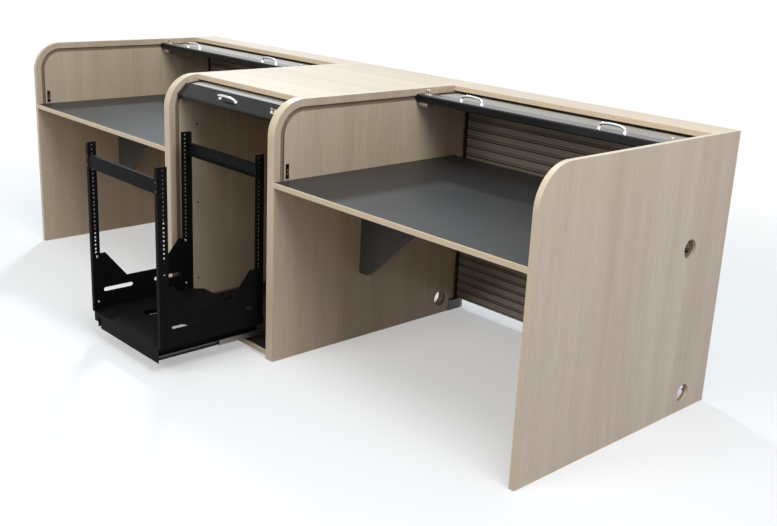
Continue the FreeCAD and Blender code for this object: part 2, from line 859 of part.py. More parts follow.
# Rack base: folded tray with two openings, a rear tongue, lips front and rear and two skirts
base_under = rack_base_level - rack_sheet
tray = new_body("rack_base")
tongue_end = rack_depth + tongue_depth
tongue_half = rack_side - tongue_inset
top = [
    (-rack_side, zero),
    (rack_side, zero),
    (rack_side, rack_depth),
    (tongue_half, rack_depth),
    (tongue_half - tongue_cut, tongue_end),
    (tongue_cut - tongue_half, tongue_end),
    (-tongue_half, rack_depth),
    (-rack_side, rack_depth),
]
vents = [vent(vent_spread * share, vent_setback, vent_width, vent_length)
         for share in (-half_share, half_share)]
sheet_outline = sketch_on(tray, "XY_Plane", "tray_outline", [top, *vents])
feature(tray, "Pad", "tray_top", sheet_outline, rack_sheet)
lip_half = rack_side - lip_inset
lip = [
    (-lip_half, zero),
    (-lip_half, -lip_ear_drop),
    (lip_ear - lip_half, -lip_ear_drop),
    (lip_ear - lip_half, -lip_notch_drop),
    (lip_ear + lip_notch - lip_half, -lip_notch_drop),
    (lip_ear + lip_notch - lip_half, -lip_drop),
    (lip_half, -lip_drop),
    (lip_half, zero),
]
feature(tray, "Pad", "tray_lip", sketch_on(tray, "XZ_Plane", "lip_outline", [lip]), rack_sheet, True)
rear_lip = rectangle(-skirt_face, -skirt_drop, skirt_face * 2, skirt_drop)
rear_outline = sketch_on(tray, "XZ_Plane", "rear_lip_outline", [rear_lip], (), -rack_depth)
feature(tray, "Pad", "tray_rear_lip", rear_outline, rack_sheet)
for name, lift in [("left_skirt", -skirt_face), ("right_skirt", skirt_face - rack_sheet)]:
    skirt = rectangle(zero, -skirt_drop, rack_depth, skirt_drop)
    skirt_outline = sketch_on(tray, "YZ_Plane", name + "_outline", [skirt], (), lift)
    feature(tray, "Pad", name, skirt_outline, rack_sheet)
place(tray, zero, rack_front, base_under)
node("rack_base", tray)

# Rack sides: low plate between the posts with a gusset up each of them and two oval slots
side_start = rack_sheet
side_end = rack_depth - rack_sheet
side_edge = [
    (side_start, zero),
    (side_end, zero),
    (side_end, side_high),
    (rack_depth - gusset_top, side_high),
    (rack_depth - gusset_foot, side_low),
    (gusset_foot, side_low),
    (gusset_top, side_high),
    (side_start, side_high),
]
slots = [oval(rack_depth / 2 + slot_spread * share, slot_level, slot_length, slot_height)
         for share in (-half_share, half_share)]
side_face = rack_side - rack_sheet * 2
for side, x in [("left", rack_sheet - rack_side), ("right", side_face)]:
    plate = profile(f"rack_{side}_side", "YZ_Plane", [side_edge, *slots], rack_sheet)
    place(plate, x, rack_front, rack_base_level)
    node(f"rack_{side}_side", plate)

# Rack posts: angles with three square holes in every rack row
post_height = row_height * row_count + post_end * 2
hole_levels = [post_end + hole_lift + hole_spacing * number for number in range(3)]


def post_holes(body, label, middle):
    squares = [rectangle(middle - post_hole / 2, level - post_hole / 2, post_hole, post_hole)
               for level in hole_levels]
    outline = sketch_on(body, "YZ_Plane", label + "_outline", squares)
    holes = feature(body, "Pocket", label, outline, post_front, True)
    row = body.newObject("PartDesign::LinearPattern", label + "_row")
    row.Originals = [holes]
    row.Direction = (next(part for part in body.Origin.OriginFeatures if part.Role == "Z_Axis"), [""])
    bind(row, "Length", row_height * (row_count - 1))
    row.Occurrences = row_count
    body.Tip = row


post_angle = [
    (zero, zero),
    (post_front, zero),
    (post_front, rack_sheet),
    (rack_sheet, rack_sheet),
    (rack_sheet, post_side),
    (zero, post_side),
]
for end, y in [("front", rack_front), ("rear", rack_front + rack_depth - post_side)]:
    for side, x in [("left", -rack_side), ("right", rack_side - post_front)]:
        label = f"rack_{end}_{side}_post"
        corners = post_angle
        middle = post_hole_inset
        if side == "right":
            corners = [(post_front - u, v) for u, v in reversed(corners)]
        if end == "rear":
            corners = [(u, post_side - v) for u, v in reversed(corners)]
            middle = post_side - post_hole_inset
        post = profile(label, "XY_Plane", [corners], post_height)
        post_holes(post, label + "_hole", middle)
        place(post, x, y, rack_base_level)
        node(label, post)

# Channels across the rack between the tops of the posts
channel = [
    (zero, zero),
    (crossbar_depth, zero),
    (crossbar_depth, rack_sheet),
    (rack_sheet, rack_sheet),
    (rack_sheet, crossbar_height - rack_sheet),
    (crossbar_depth, crossbar_height - rack_sheet),
    (crossbar_depth, crossbar_height),
    (zero, crossbar_height),
]
crossbar_level = rack_base_level + post_height - crossbar_drop - crossbar_height
for end, y in [("front", rack_front + rack_sheet),
               ("rear", rack_front + rack_depth - rack_sheet - crossbar_depth)]:
    corners = channel if end == "front" else [(crossbar_depth - u, v) for u, v in reversed(channel)]
    crossbar = profile(f"rack_{end}_crossbar", "YZ_Plane", [corners], rack_width - rack_sheet * 2)
    place(crossbar, rack_sheet - rack_side, y, crossbar_level)
    node(f"rack_{end}_crossbar", crossbar)

# Screw heads on the inner faces of the rack sides
heads = []
for level in (rack_base_level + screw_low, rack_base_level + screw_high):
    for y in (rack_front + screw_inset, rack_front + rack_depth - screw_inset):
        for x in (-side_face, side_face - screw_head):
            heads.append(prism_along_x("screw", head_sides, x, y, level, screw_head_radius, screw_head))
group("rack_screws", heads)

# Telescopic slides: channels inside each other, the outer one with a foot on the rack floor
middle_height = slide_height - slide_step * 2
inner_height = middle_height - slide_step * 2


def slide_channel(web, tall):
    return [
        (zero, zero),
        (web, zero),
        (web, tall),
        (zero, tall),
        (zero, tall - slide_sheet),
        (web - slide_sheet, tall - slide_sheet),
        (web - slide_sheet, slide_sheet),
        (zero, slide_sheet),
    ]


def mirrored(corners, width):
    return [(width - u, v) for u, v in reversed(corners)]


inner_channel = mirrored(slide_channel(inner_web, inner_height), inner_web)
middle_channel = slide_channel(inner_web, middle_height)
outer_channel = [
    (outer_web - slide_sheet, zero),
    (outer_web + slide_foot, zero),
    (outer_web + slide_foot, slide_sheet),
    (outer_web, slide_sheet),
    (outer_web, slide_lift + slide_height),
    (zero, slide_lift + slide_height),
    (zero, slide_lift + slide_height - slide_sheet),
    (outer_web - slide_sheet, slide_lift + slide_height - slide_sheet),
    (outer_web - slide_sheet, slide_lift + slide_sheet),
    (zero, slide_lift + slide_sheet),
    (zero, slide_lift),
    (outer_web - slide_sheet, slide_lift),
]
slide_bottom = rack_floor_level + slide_lift
members = [
    ("rack_slide_inner", inner_channel, inner_web, skirt_face, rack_front + slide_inset,
     rack_depth - slide_inset, slide_bottom + slide_step * 2),
    ("rack_slide_middle", middle_channel, inner_web, channel_start, rack_front + middle_lead,
     middle_length, slide_bottom + slide_step),
    ("rack_slide_outer", outer_channel, outer_web + slide_foot, channel_start, front + outer_setback,
     middle_length, rack_floor_level),
]
for label, corners, width, x, y, length, bottom in members:
    right = profile(label + "_right", "XZ_Plane", [corners], length, True)
    place(right, x, y, bottom)
    left = profile(label + "_left", "XZ_Plane", [mirrored(corners, width)], length, True)
    place(left, -(x + width), y, bottom)
    group(label, [left, right])

doc.recompute()
for item in doc.Objects:
    if "Invalid" in item.State or "Error" in item.State:
        raise RuntimeError(item.Label + " failed")
os.makedirs("parts", exist_ok=True)
for item in nodes:
    if item.Shape.isNull() or not item.Shape.isValid():
        raise RuntimeError(item.Label + " has no valid shape")
    item.Shape.exportStep("parts/" + item.Label + ".step")
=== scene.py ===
import json
import math

import bpy
from mathutils import Matrix, Vector


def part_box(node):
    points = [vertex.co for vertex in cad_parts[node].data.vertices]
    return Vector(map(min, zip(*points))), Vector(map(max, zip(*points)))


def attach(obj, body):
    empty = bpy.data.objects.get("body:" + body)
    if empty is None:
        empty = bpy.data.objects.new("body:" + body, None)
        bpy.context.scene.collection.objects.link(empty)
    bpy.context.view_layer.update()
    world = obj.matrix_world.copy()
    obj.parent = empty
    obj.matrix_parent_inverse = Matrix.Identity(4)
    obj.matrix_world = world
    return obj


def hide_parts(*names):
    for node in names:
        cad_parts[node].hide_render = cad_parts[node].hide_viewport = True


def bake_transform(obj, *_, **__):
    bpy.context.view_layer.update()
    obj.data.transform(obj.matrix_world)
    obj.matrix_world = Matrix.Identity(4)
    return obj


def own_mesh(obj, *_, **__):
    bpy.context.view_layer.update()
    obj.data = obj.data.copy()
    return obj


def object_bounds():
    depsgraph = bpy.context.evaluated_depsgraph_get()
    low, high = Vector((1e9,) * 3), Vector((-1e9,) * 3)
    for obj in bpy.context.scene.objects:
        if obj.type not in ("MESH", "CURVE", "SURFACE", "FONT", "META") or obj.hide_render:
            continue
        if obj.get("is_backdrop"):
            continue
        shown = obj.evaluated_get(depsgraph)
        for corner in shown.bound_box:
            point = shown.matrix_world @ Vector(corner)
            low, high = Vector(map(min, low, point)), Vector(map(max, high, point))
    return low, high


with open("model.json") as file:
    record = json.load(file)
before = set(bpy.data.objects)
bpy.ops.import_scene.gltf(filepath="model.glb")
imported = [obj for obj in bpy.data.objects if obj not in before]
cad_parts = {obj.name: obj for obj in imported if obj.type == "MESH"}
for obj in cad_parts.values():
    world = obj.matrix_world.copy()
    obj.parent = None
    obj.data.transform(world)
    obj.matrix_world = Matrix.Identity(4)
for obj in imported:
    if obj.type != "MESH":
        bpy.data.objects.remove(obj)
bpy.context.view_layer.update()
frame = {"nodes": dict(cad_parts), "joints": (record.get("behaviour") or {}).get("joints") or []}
cadNodes = frame["nodes"]
scene = bpy.context.scene
mm = 0.001
halvings = 50  # steps of a search by halving


class Wire:  # a node's output, with maths on it
    def __init__(self, tree, socket):
        self.tree = tree
        self.socket = socket

    def maths(self, operation, *values):
        return node(self.tree, "ShaderNodeMath", {"operation": operation}, dict(enumerate(values)))

    def __add__(self, other):
        return self.maths("ADD", self, other)

    def __radd__(self, other):
        return self.maths("ADD", other, self)

    def __sub__(self, other):
        return self.maths("SUBTRACT", self, other)

    def __rsub__(self, other):
        return self.maths("SUBTRACT", other, self)

    def __mul__(self, other):
        return self.maths("MULTIPLY", self, other)

    def __rmul__(self, other):
        return self.maths("MULTIPLY", other, self)

    def __truediv__(self, other):
        return self.maths("DIVIDE", self, other)

    def __rtruediv__(self, other):
        return self.maths("DIVIDE", other, self)

    def __abs__(self):
        return self.maths("ABSOLUTE", self)

    def above(self, limit):
        return self.maths("GREATER_THAN", self, limit)

    def atLeast(self, limit):
        return self.maths("MAXIMUM", self, limit)

    def floored(self):
        return self.maths("FLOOR", self)

    def root(self):
        return self.maths("SQRT", self)

    def clamped(self):
        return node(self.tree, "ShaderNodeClamp", {}, {"Value": self})

    def out(self, name):
        return Wire(self.tree, self.socket.node.outputs[name])

    @staticmethod
    def node(tree, kind, settings, sockets, output=0):  # any node: its type, settings, and values or links
        made = tree.nodes.new(kind)
        for name, value in settings.items():
            setattr(made, name, value)
        for name, value in sockets.items():
            if isinstance(value, Wire):
                tree.links.new(value.socket, made.inputs[name])
            else:
                made.inputs[name].default_value = value
        return Wire(tree, made.outputs[output]) if made.outputs else made


node = Wire.node


def mixed(tree, share, first, second):
    made = node(tree, "ShaderNodeMix", {"data_type": "RGBA"}, {0: share})
    block = made.socket.node
    for name, value in ((6, first), (7, second)):  # the colour sockets
        if isinstance(value, Wire):
            tree.links.new(value.socket, block.inputs[name])
        else:
            block.inputs[name].default_value = (*value, 1)
    return Wire(tree, block.outputs[2])


def noise(tree, place, scale, detail=3.0, rough=0.55):
    sockets = {"Vector": place, "Scale": scale, "Detail": detail, "Roughness": rough}
    return node(tree, "ShaderNodeTexNoise", {}, sockets)


def stretched(tree, place, scale):
    return node(tree, "ShaderNodeVectorMath", {"operation": "MULTIPLY"}, {0: place, 1: scale})


def drawnOut(axis, share):  # scale that draws a pattern out along one axis
    return [share if letter == axis else 1.0 for letter in "xyz"]


def bumped(tree, height, distance, strength):
    return node(tree, "ShaderNodeBump", {}, {"Height": height, "Distance": distance, "Strength": strength})


def newPaint(name):
    paint = bpy.data.materials.new(name)
    paint.use_nodes = True
    paint.node_tree.nodes.clear()
    return paint, paint.node_tree


def finishPaint(tree, sockets):
    shader = node(tree, "ShaderNodeBsdfPrincipled", {}, sockets)
    node(tree, "ShaderNodeOutputMaterial", {}, {"Surface": shader})


def objectPlace(tree):
    return node(tree, "ShaderNodeTexCoord", {}, {}, "Object")


def axesOf(tree, vector):
    return node(tree, "ShaderNodeSeparateXYZ", {}, {"Vector": vector})


def facingOf(tree):  # the surface's normal, by axis
    return axesOf(tree, node(tree, "ShaderNodeTexCoord", {}, {}, "Normal"))


track = {"inset": 34 * mm, "rearInset": 50 * mm, "corner": 125 * mm, "depth": 9 * mm, "skin": 0.5 * mm}
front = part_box("left_end_panel")[0].y
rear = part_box("left_end_panel")[1].y
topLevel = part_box("left_end_panel")[1].z
bendLevel = topLevel - track["corner"]
bend = track["corner"] - track["inset"]
frontBend = front + track["corner"]
rearBend = rear - track["rearInset"] - bend
bayEdges = [  # wall faces, by their distance from the middle
    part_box("right_rack_wall_inner")[0].x,
    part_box("right_rack_wall_outer")[1].x,
    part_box("right_end_panel")[0].x,
]
maple = {
    "pale": (0.70, 0.560, 0.405), "tan": (0.575, 0.432, 0.292), "fleck": (0.36, 0.25, 0.17),
    "edge": (0.72, 0.595, 0.435), "edgeTan": (0.62, 0.485, 0.335), "edgeScale": 60.0, "edgeFacing": 0.5,
    # groove: painted shade in the track grooves, over the board's darker brown core
    "groove": (0.15, 0.090, 0.052), "grooveShadeCover": 0.72,
    "leaf": 0.235, "leafTone": 0.5, "middleTone": 0.42,
    "grainDraw": 0.07, "figureScale": 14.0, "figureDetail": 4.0, "figureRough": 0.6, "figureTone": 1.7,
    "poreDraw": 0.015, "poreScale": 420.0, "poreDetail": 2.0, "poreRough": 0.5, "poreTone": 1.2,
    "poreDepth": 0.1 * mm, "poreBump": 0.4,
    "dashScale": 105.0, "dashDetail": 2.0, "dashStart": 0.60, "dashSlope": 7.0, "dashCover": 0.22,
    "fleckScale": 900.0, "fleckDetail": 1.0, "fleckStart": 0.70, "fleckCover": 0.35,
    "roughness": 0.44, "roughSpread": 0.12, "shine": 0.3, "coat": 0.6, "coatRoughness": 0.3,
}


def grooveShadeMask(tree, axes):  # where the painted shade goes: track grooves and bores, under a bay face and away from the board's outline
    sideways = abs(axes.out("X"))
    under = 0.0
    for wall in bayEdges:
        depth = abs(sideways - wall)
        under = under + depth.above(track["skin"]) * (1.0 - depth.above(track["depth"]))
    ahead = (frontBend - axes.out("Y")).atLeast(0.0)
    over = (axes.out("Z") - bendLevel).atLeast(0.0)
    away = (ahead * ahead + over * over).root()
    inside = 1.0 - away.above(track["corner"] - track["inset"] / 2)
    return (under * inside).clamped()


def maplePaint(name, along, flat, shadedGrooves=False):  # along: grain axis, flat: axis across the thickness
    paint, tree = newPaint(name)
    place = objectPlace(tree)
    axes = axesOf(tree, place)
    grain = stretched(tree, place, drawnOut(along, maple["grainDraw"]))
    pores = stretched(tree, place, drawnOut(along, maple["poreDraw"]))
    across = next(axis for axis in "yzx" if axis not in (along, flat))
    leafNumber = (axes.out(across.upper()) / maple["leaf"]).floored()
    leafTone = node(tree, "ShaderNodeTexWhiteNoise", {"noise_dimensions": "1D"}, {"W": leafNumber})
    figure = noise(tree, grain, maple["figureScale"], maple["figureDetail"], maple["figureRough"])
    fine = noise(tree, pores, maple["poreScale"], maple["poreDetail"], maple["poreRough"])
    tone = (figure - 0.5) * maple["figureTone"] + (fine - 0.5) * maple["poreTone"]
    tone = (tone + (leafTone - 0.5) * maple["leafTone"] + maple["middleTone"]).clamped()
    wood = mixed(tree, tone, maple["pale"], maple["tan"])
    dashes = noise(tree, grain, maple["dashScale"], maple["dashDetail"]) - maple["dashStart"]
    dashes = (dashes * maple["dashSlope"]).clamped()
    flecks = noise(tree, pores, maple["fleckScale"], maple["fleckDetail"]).above(maple["fleckStart"])
    marks = flecks * maple["fleckCover"] + dashes * maple["dashCover"]
    wood = mixed(tree, marks, wood, maple["fleck"])
    edge = 1.0 - abs(facingOf(tree).out(flat.upper())).above(maple["edgeFacing"])
    band = mixed(tree, noise(tree, place, maple["edgeScale"]), maple["edge"], maple["edgeTan"])
    colour = mixed(tree, edge, wood, band)
    # painted shade in the track grooves and bores, over the board's darker brown core
    if shadedGrooves:
        colour = mixed(tree, grooveShadeMask(tree, axes) * maple["grooveShadeCover"], colour, maple["groove"])
    finishPaint(tree, {
        "Base Color": colour, "Roughness": maple["roughness"] + (fine - 0.5) * maple["roughSpread"],
        "Normal": bumped(tree, fine, maple["poreDepth"], maple["poreBump"]),
        "Specular IOR Level": maple["shine"],
        "Coat Weight": maple["coat"], "Coat Roughness": maple["coatRoughness"]})
    return paint


speckle = {"patchScale": 3.2, "patchTone": 0.35, "patchRough": 0.18,
           "dotDetail": 2.0, "dotRough": 0.1, "strength": 0.6}
speckledLooks = {
    "charcoal": {"base": (0.023, 0.0219, 0.0216), "speck": (0.046, 0.0438, 0.0432), "roughness": 0.44,
                 "scale": 900.0, "share": 0.7, "bump": 0.04 * mm, "shine": 0.28},
    "nylon": {"base": (0.018, 0.018, 0.019), "speck": (0.035, 0.035, 0.036), "roughness": 0.55,
              "scale": 500.0, "share": 0.5, "bump": 0.03 * mm, "shine": 0.5},
    "bracketGrey": {"base": (0.050, 0.048, 0.046), "speck": (0.085, 0.081, 0.077), "roughness": 0.52,
                    "scale": 700.0, "share": 0.6, "bump": 0.05 * mm, "shine": 0.35},
    "powderBlack": {"base": (0.0045, 0.0045, 0.0045), "speck": (0.011, 0.011, 0.011), "roughness": 0.50,
                    "scale": 1100.0, "share": 0.6, "bump": 0.08 * mm, "shine": 0.04},
}


def speckledPaint(name, look):  # fine dots of a second tone, in soft patches
    paint, tree = newPaint(name)
    place = objectPlace(tree)
    dots = noise(tree, place, look["scale"], speckle["dotDetail"])
    patches = noise(tree, place, speckle["patchScale"]) - 0.5
    tone = (dots * look["share"] + patches * speckle["patchTone"]).clamped()
    rough = look["roughness"] + patches * speckle["patchRough"] + (dots - 0.5) * speckle["dotRough"]
    finishPaint(tree, {
        "Base Color": mixed(tree, tone, look["base"], look["speck"]), "Roughness": rough,
        "Specular IOR Level": look["shine"], "Normal": bumped(tree, dots, look["bump"], speckle["strength"])})
    return paint


brushing = {"draw": 0.02, "lineScale": 260.0, "cloudScale": 7.0, "lineTone": 0.6, "cloudTone": 0.6,
            "lineRough": 0.16, "cloudRough": 0.14, "depth": 0.06 * mm, "strength": 0.5}
brushedLooks = {  # along: the axis of the brushing
    "blackBar": {"base": (0.0060, 0.0065, 0.0072), "dark": (0.010, 0.010, 0.011), "roughness": 0.15,
                 "along": "x", "metallic": 0.0, "shine": 0.22},
    "chrome": {"base": (0.82, 0.82, 0.83), "dark": (0.68, 0.68, 0.70), "roughness": 0.13,
               "along": "x", "metallic": 1.0, "shine": 0.5},
    "brass": {"base": (0.60, 0.52, 0.40), "dark": (0.45, 0.38, 0.28), "roughness": 0.24,
              "along": "z", "metallic": 1.0, "shine": 0.5},
    "zinc": {"base": (0.60, 0.60, 0.60), "dark": (0.42, 0.42, 0.42), "roughness": 0.36,
             "along": "y", "metallic": 1.0, "shine": 0.5},
    "slideZinc": {"base": (0.26, 0.24, 0.215), "dark": (0.17, 0.155, 0.14), "roughness": 0.42,
                  "along": "y", "metallic": 1.0, "shine": 0.5},
    # darker steel: painted shade on the inner slide members, and the own dark finish of the end stops and
    # crossbar screws
    "slideSteel": {"base": (0.115, 0.118, 0.110), "dark": (0.070, 0.072, 0.068), "roughness": 0.42,
                   "along": "y", "metallic": 0.8, "shine": 0.5},
}


def brushedPaint(name, look):  # fine lines along one axis, with soft clouds
    paint, tree = newPaint(name)
    place = objectPlace(tree)
    drawn = stretched(tree, place, drawnOut(look["along"], brushing["draw"]))
    lines = noise(tree, drawn, brushing["lineScale"])
    cloud = noise(tree, place, brushing["cloudScale"]) - 0.5
    tone = (lines * brushing["lineTone"] + cloud * brushing["cloudTone"]).clamped()
    rough = look["roughness"] + (lines - 0.5) * brushing["lineRough"] + cloud * brushing["cloudRough"]
    finishPaint(tree, {
        "Base Color": mixed(tree, tone, look["base"], look["dark"]), "Roughness": rough,
        "Metallic": look["metallic"], "Specular IOR Level": look["shine"],
        "Normal": bumped(tree, lines, brushing["depth"], brushing["strength"])})
    return paint


bronze = {
    # inner and innerDark: painted shade on the faces turned back or down, darker than the outer face
    "inner": (0.300, 0.256, 0.216), "innerDark": (0.215, 0.180, 0.150), "outer": (0.33, 0.300, 0.265),
    "cap": (0.010, 0.010, 0.010), "capLength": 18 * mm, "metallic": 0.35,
    "outerRoughness": 0.64, "innerRoughness": 0.34, "lineRough": 0.08,
    "draw": 0.02, "lineScale": 260.0, "lineTone": 0.4, "cloudScale": 5.0, "cloudTone": 0.6,
    "lineDepth": 0.015 * mm, "lineBump": 0.4,
}


def slatPaint(name):  # strips paler on the outer face, with painted shade on the faces turned back or down and in the grooves and seams; black caps in the tracks
    paint, tree = newPaint(name)
    place = objectPlace(tree)
    lines = noise(tree, stretched(tree, place, drawnOut("x", bronze["draw"])), bronze["lineScale"])
    cloud = noise(tree, place, bronze["cloudScale"])
    sideways = abs(axesOf(tree, place).out("X"))
    ends = 0.0
    for wall in bayEdges:
        ends = ends + (1.0 - abs(sideways - wall).above(bronze["capLength"]))
    facing = facingOf(tree)
    # faces turned back or down take the darker colours: painted shade
    inner = 1.0 - (facing.out("Y") + facing.out("Z")).above(0.0)
    tone = (lines * bronze["lineTone"] + (cloud - 0.5) * bronze["cloudTone"]).clamped()
    colour = mixed(tree, inner, bronze["outer"], mixed(tree, tone, bronze["inner"], bronze["innerDark"]))
    smoother = inner * (bronze["outerRoughness"] - bronze["innerRoughness"])
    # the depth attribute darkens the groove floors and seams to black: painted shade
    depth = node(tree, "ShaderNodeAttribute", {"attribute_name": "depth"}, {}, "Fac")
    finishPaint(tree, {
        "Base Color": mixed(tree, (ends.clamped() + depth).clamped(), colour, bronze["cap"]),
        "Roughness": bronze["outerRoughness"] - smoother + (lines - 0.5) * bronze["lineRough"],
        "Metallic": bronze["metallic"],
        "Normal": bumped(tree, lines, bronze["lineDepth"], bronze["lineBump"])})
    return paint


paints = {
    "uprightMaple": maplePaint("uprightMaple", "z", "x", True),
    "levelMaple": maplePaint("levelMaple", "x", "z"),
    "backMaple": maplePaint("backMaple", "z", "y"),
    "bronze": slatPaint("bronze"),
}
for name, look in speckledLooks.items():
    paints[name] = speckledPaint(name, look)
for name, look in brushedLooks.items():
    paints[name] = brushedPaint(name, look)
print("paints mixed", len(paints))

paintOf = {  # paint of each CAD node, by the longest of these that its name holds
    "end_panel": "uprightMaple", "rack_wall": "uprightMaple", "back_panel": "backMaple",
    "deck": "levelMaple", "top_strip": "levelMaple", "desktop": "levelMaple", "rack_floor": "levelMaple",
    "laminate": "charcoal", "floor_sheet": "charcoal", "lead_bar": "blackBar", "glides": "nylon",
    "curtain": "bronze", "pull": "chrome", "knob": "brass", "lock_cases": "zinc", "strike": "blackBar",
    "end_stops": "slideSteel", "bracket": "bracketGrey", "rack_base": "powderBlack",
    "rack_left_side": "powderBlack", "rack_right_side": "powderBlack", "post": "powderBlack",
    # the inner slide members take the darker steel as painted shade
    "crossbar": "powderBlack", "screws": "zinc", "slide": "slideZinc", "slide_inner": "slideSteel",
}
for name, item in cadNodes.items():
    fitting = [part for part in paintOf if part in name]
    item.data.materials.clear()
    item.data.materials.append(paints[paintOf[max(fitting, key=len)]])
print("frame painted", len(cadNodes))


def group(name, inputs):  # empty geometry tree with named inputs
    tree = bpy.data.node_groups.new(name, "GeometryNodeTree")
    tree.interface.new_socket("Geometry", in_out="INPUT", socket_type="NodeSocketGeometry")
    for label, kind in inputs.items():
        tree.interface.new_socket(label, in_out="INPUT", socket_type=kind)
    tree.interface.new_socket("Geometry", in_out="OUTPUT", socket_type="NodeSocketGeometry")
    return tree, node(tree, "NodeGroupInput", {}, {}, "Geometry")


def copyTree():  # one copy of a piece on each point, turned and stretched by the point's attributes
    tree, source = group("placedCopies", {"Piece": "NodeSocketObject", "Finish": "NodeSocketMaterial"})
    kind = {"data_type": "FLOAT_VECTOR"}
    turn = node(tree, "GeometryNodeInputNamedAttribute", kind, {"Name": "turn"})
    stretch = node(tree, "GeometryNodeInputNamedAttribute", kind, {"Name": "stretch"})
    piece = node(tree, "GeometryNodeObjectInfo", {}, {"Object": source.out("Piece")}, "Geometry")
    spread = node(tree, "GeometryNodeInstanceOnPoints", {}, {
        "Points": source, "Instance": piece, "Rotation": turn, "Scale": stretch})
    whole = node(tree, "GeometryNodeRealizeInstances", {}, {"Geometry": spread})
    painted = node(tree, "GeometryNodeSetMaterial", {}, {"Geometry": whole, "Material": source.out("Finish")})
    node(tree, "NodeGroupOutput", {}, {"Geometry": painted})
    return tree


placedCopies = copyTree()


def newPiece(name, mesh):
    made = bpy.data.objects.new(name, mesh)
    scene.collection.objects.link(made)
    return made


def smooth(mesh, sharpest):
    mesh.polygons.foreach_set("use_smooth", [True] * len(mesh.polygons))
    mesh.set_sharp_from_angle(angle=math.radians(sharpest))


def copies(name, master, spots, paint, sharpest=35.0):  # spots: (place, turn, stretch)
    points = bpy.data.meshes.new(name + "Points")
    points.from_pydata([spot[0] for spot in spots], [], [])
    for label, which in (("turn", 1), ("stretch", 2)):
        values = points.attributes.new(label, "FLOAT_VECTOR", "POINT")
        for entry, spot in zip(values.data, spots):
            entry.vector = spot[which]
    holder = newPiece(name + "Points", points)
    modifier = holder.modifiers.new("copies", "NODES")
    modifier.node_group = placedCopies
    for label, value in (("Piece", master), ("Finish", paints[paint])):
        modifier[placedCopies.interface.items_tree[label].identifier] = value
    bpy.context.view_layer.update()
    result = holder.evaluated_get(bpy.context.evaluated_depsgraph_get())
    mesh = bpy.data.meshes.new_from_object(result)
    bpy.data.objects.remove(holder)
    mesh.name = name
    smooth(mesh, sharpest)
    return newPiece(name, mesh)


def master(name, mesh):  # a piece to copy, not shown itself
    return bpy.data.objects.new(name, mesh)


def swept(name, rings):  # mesh through rings of equal length, with capped ends
    count = len(rings[0])
    corners = [corner for ring in rings for corner in ring]
    faces = []
    for first in range(len(rings) - 1):
        start, after = first * count, (first + 1) * count
        for corner in range(count):
            beside = (corner + 1) % count
            faces.append((start + corner, start + beside, after + beside, after + corner))
    faces.append(tuple(reversed(range(count))))
    faces.append(tuple((len(rings) - 1) * count + corner for corner in range(count)))
    mesh = bpy.data.meshes.new(name)
    mesh.from_pydata(corners, [], faces)
    return mesh


def circle(sides):  # cosine and sine at each corner of a round ring
    angles = [math.tau * side / sides for side in range(sides)]
    return [(math.cos(angle), math.sin(angle)) for angle in angles]


def turned(name, outline, sides):  # outline: (radius, height) from the foot up, turned about Z
    rings = []
    for radius, height in outline:
        rings.append([(radius * cosine, radius * sine, height) for cosine, sine in circle(sides)])
    return swept(name, rings)


def stadium(length, width, height, sides):  # ring with round ends
    ring = []
    for side in range(2 * sides):
        angle = math.pi * (side + 0.5) / sides - math.pi / 2
        shift = (length - width) / 2 * (1 if side < sides else -1)
        ring.append((shift + width / 2 * math.cos(angle), width / 2 * math.sin(angle), height))
    return ring


def joined(name, meshes):
    corners, faces = [], []
    for mesh in meshes:
        start = len(corners)
        corners += [vertex.co.copy() for vertex in mesh.vertices]
        faces += [[start + corner for corner in face.vertices] for face in mesh.polygons]
    whole = bpy.data.meshes.new(name)
    whole.from_pydata(corners, [], faces)
    return whole


def gathered(nodeName, reach):  # a CAD node's corners, one list for each of its solids
    solids = []
    for vertex in cadNodes[nodeName].data.vertices:
        near = next((solid for solid in solids if (solid[0] - vertex.co).length < reach), None)
        if near is None:
            solids.append([vertex.co.copy()])
        else:
            near.append(vertex.co.copy())
    return solids


ones = (1, 1, 1)
unturned = (0, 0, 0)
slat = {
    "pitch": 35.5 * mm, "half": 6 * mm, "crown": 0.3 * mm, "crownSteps": 8,
    "seam": 0.7 * mm, "hook": 2.2 * mm, "lip": 2.4 * mm,
    "bead": 6.2 * mm, "beadRoundShare": 0.25, "groove": 2.8 * mm, "grooveDepth": 4.0 * mm,
    "beadFootShare": 0.55, "beadTopShare": 0.8, "socketShare": 0.1,  # of the half thickness
    "tongueLowShare": 0.2, "tongueHighShare": 0.15,
    "sideCount": 29, "centreCount": 25, "centreFollowShares": (0.68, 0.40, 0.13),
    "nestStep": 0.010,  # each nested slat is this much thinner than the one round it
    "swing": 1e5, "lift": 1e3,  # far anchors, in metres, for slats that move as a whole
}


